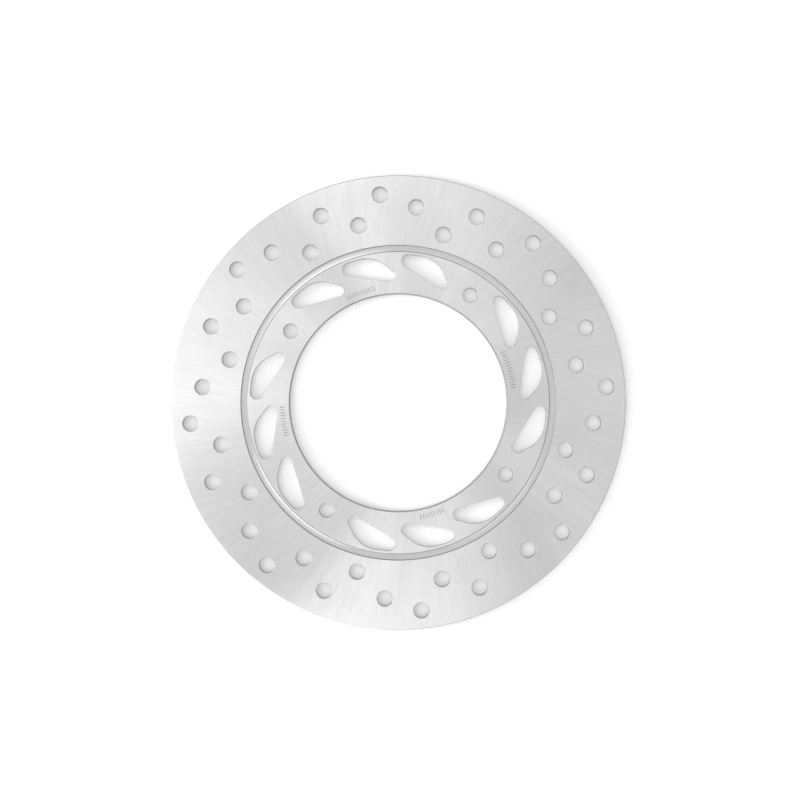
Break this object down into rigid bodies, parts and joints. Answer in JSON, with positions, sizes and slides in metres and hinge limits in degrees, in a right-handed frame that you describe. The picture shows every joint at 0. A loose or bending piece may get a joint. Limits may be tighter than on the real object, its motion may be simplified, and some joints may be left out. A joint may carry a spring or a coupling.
{
  "type": "brake disc rotor",
  "caption": "Flat one-piece brake disc rotor with a drilled braking band, a shallow ring groove, a slotted mounting flange and a large hub bore.",
  "frame": {"origin": "centre of the hub bore, on the back face that sits on the hub", "axes": "+Z along the wheel's axis, out of the front face; +X and +Y lie in the back face, and the first bolt hole is 56.3 degrees from +X towards +Y"},
  "size_m": [0.22, 0.22, 0.004],
  "materials": {
    "ground_steel": "surface-ground stainless steel, with fine crossing grinding marks on both faces"
  },
  "bodies": {
    "root": {"rotor_disc": "ground_steel"}
  },
  "joints": []
}
